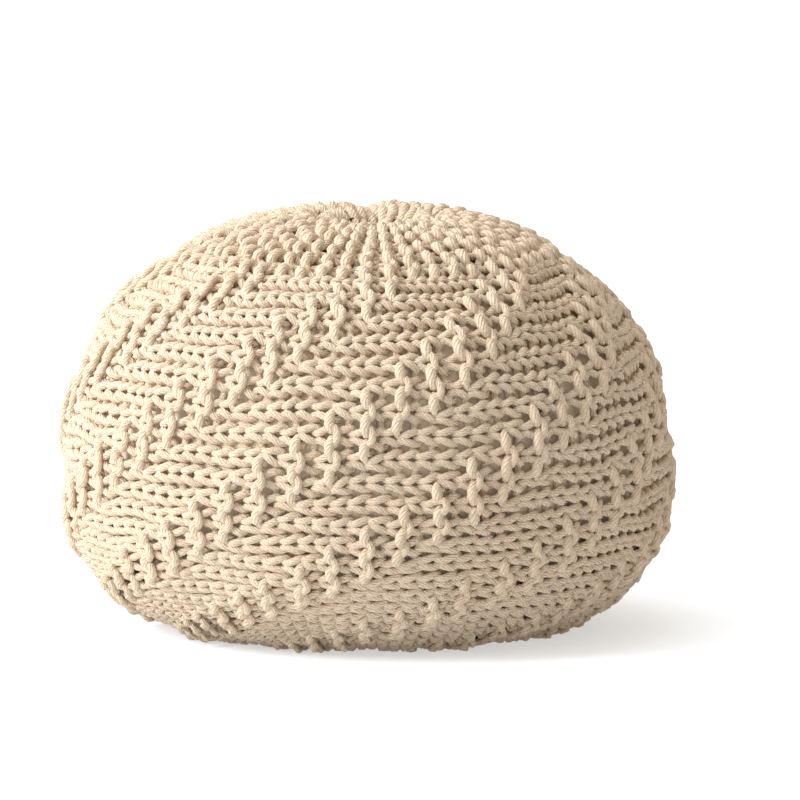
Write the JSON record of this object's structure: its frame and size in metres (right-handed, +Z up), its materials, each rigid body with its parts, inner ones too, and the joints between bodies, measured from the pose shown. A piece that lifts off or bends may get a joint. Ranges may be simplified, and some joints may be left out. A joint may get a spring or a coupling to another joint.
{
  "type": "knitted pouf",
  "caption": "Round floor pouf: a filled bag in a chunky knitted cotton cover, gathered to a small hole on top, with stepped ridges climbing its sides.",
  "frame": {"origin": "on the floor, under the middle of the pouf", "axes": "+Z up; -Y is the side that faces the camera in the picture, +X is to its right"},
  "size_m": [0.5078, 0.5077, 0.3556],
  "materials": {
    "cotton_yarn": "thick unbleached cotton yarn, cream, soft and slightly fuzzy",
    "bag_cloth": "plain woven beige cotton cloth, matt"
  },
  "bodies": {
    "root": {"knitted_cover": "cotton_yarn", "inner_bag": "bag_cloth"}
  },
  "joints": []
}
